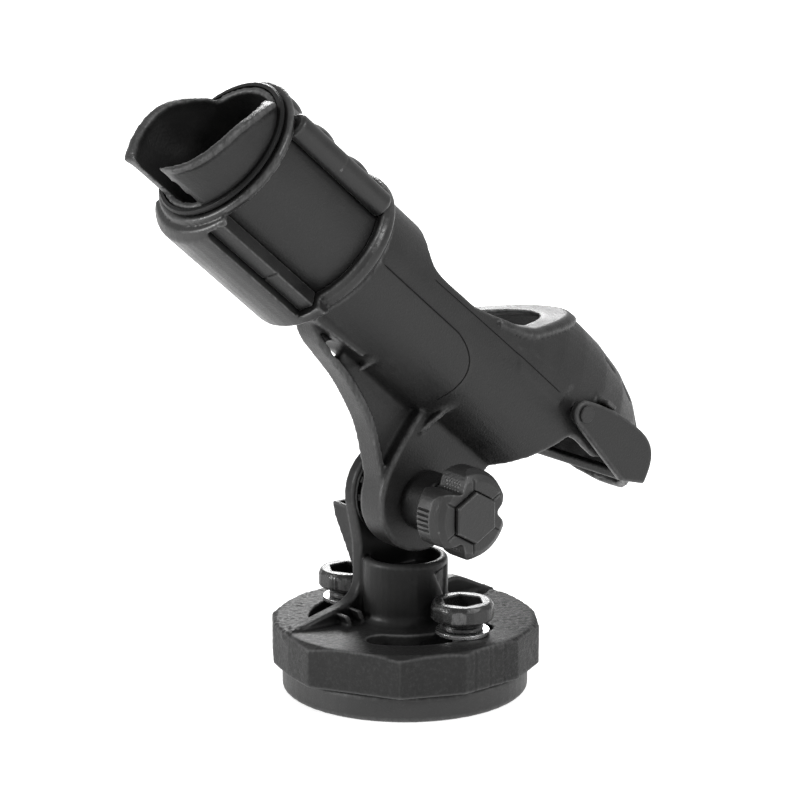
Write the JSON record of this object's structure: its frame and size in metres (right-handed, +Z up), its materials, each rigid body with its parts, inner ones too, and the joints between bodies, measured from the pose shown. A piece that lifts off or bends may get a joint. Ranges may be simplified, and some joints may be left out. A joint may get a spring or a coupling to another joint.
{
  "type": "rod holder",
  "caption": "Rod holder with a slotted tube, hooded rear and turning lock collar on a toothed tilt joint, a clamp knob, and a swivelling pedestal bolted to a round deck disc.",
  "frame": {"origin": "centre of the deck disc's bottom face", "axes": "+Z up from the deck; the tube's centre plane is XZ with the mouth towards -X and up; the clamp knob is on -Y"},
  "size_m": [0.2373, 0.1064, 0.253],
  "materials": {
    "nylon": "fine grained glass-filled nylon, satin",
    "nylon_dark": "satin moulded nylon",
    "disc": "smooth satin moulded nylon",
    "rubber": "matte",
    "steel": "brushed stainless",
    "brass": "machined"
  },
  "bodies": {
    "base": {"base_disc": "disc", "base_insert_near": "brass", "base_insert_far": "brass", "base_washer_near": "steel", "base_washer_far": "steel"},
    "bolt_near": {"base_bolt_head_near": "nylon_dark", "base_bolt_stud_near": "steel"},
    "bolt_far": {"base_bolt_head_far": "nylon_dark", "base_bolt_stud_far": "steel"},
    "pedestal": {"pedestal": "nylon", "pedestal_tooth_ring": "nylon_dark", "pivot_bolt": "steel", "pivot_washer": "steel"},
    "tube": {"tube_body": "nylon", "lug_tooth_ring": "nylon_dark", "knob_spacer": "nylon_dark", "clamp_washer": "steel", "collar_friction_ring": "rubber", "collar_retaining_ring": "nylon_dark", "bail_pin_near": "nylon_dark", "bail_pin_far": "nylon_dark"},
    "knob": {"knob_body": "nylon", "knob_cap": "nylon_dark", "knob_insert": "brass"},
    "collar": {"collar_shell": "nylon", "collar_round_bar": "nylon", "collar_flat_bar": "nylon"},
    "bail": {"rear_bail": "nylon"}
  },
  "joints": [
    {"name": "swivel", "type": "hinge", "parent": "base", "child": "pedestal", "pos_m": [0, 0, 0.02], "axis": [0, 0, 1], "range_deg": [-18, 34]},
    {"name": "deck_bolt_near", "type": "hinge", "parent": "base", "child": "bolt_near", "pos_m": [0.00452, -0.03218, 0.03], "axis": [0, 0, 1], "continuous": true},
    {"name": "deck_bolt_far", "type": "hinge", "parent": "base", "child": "bolt_far", "pos_m": [-0.00452, 0.03218, 0.03], "axis": [0, 0, 1], "continuous": true},
    {"name": "tilt", "type": "hinge", "parent": "pedestal", "child": "tube", "pos_m": [0, 0, 0.0805], "axis": [0, 1, 0], "range_deg": [-55, 28]},
    {"name": "clamp_knob", "type": "hinge", "parent": "pedestal", "child": "knob", "pos_m": [0, -0.035, 0.0805], "axis": [0, 1, 0], "continuous": true},
    {"name": "lock_collar", "type": "hinge", "parent": "tube", "child": "collar", "pos_m": [-0.06159, 0, 0.20751], "axis": [-0.7524, 0, 0.6587], "range_deg": [0, 92]},
    {"name": "rear_bail", "type": "hinge", "parent": "tube", "child": "bail", "pos_m": [0.06388, 0, 0.11096], "axis": [0, 1, 0], "range_deg": [0, 45]}
  ]
}
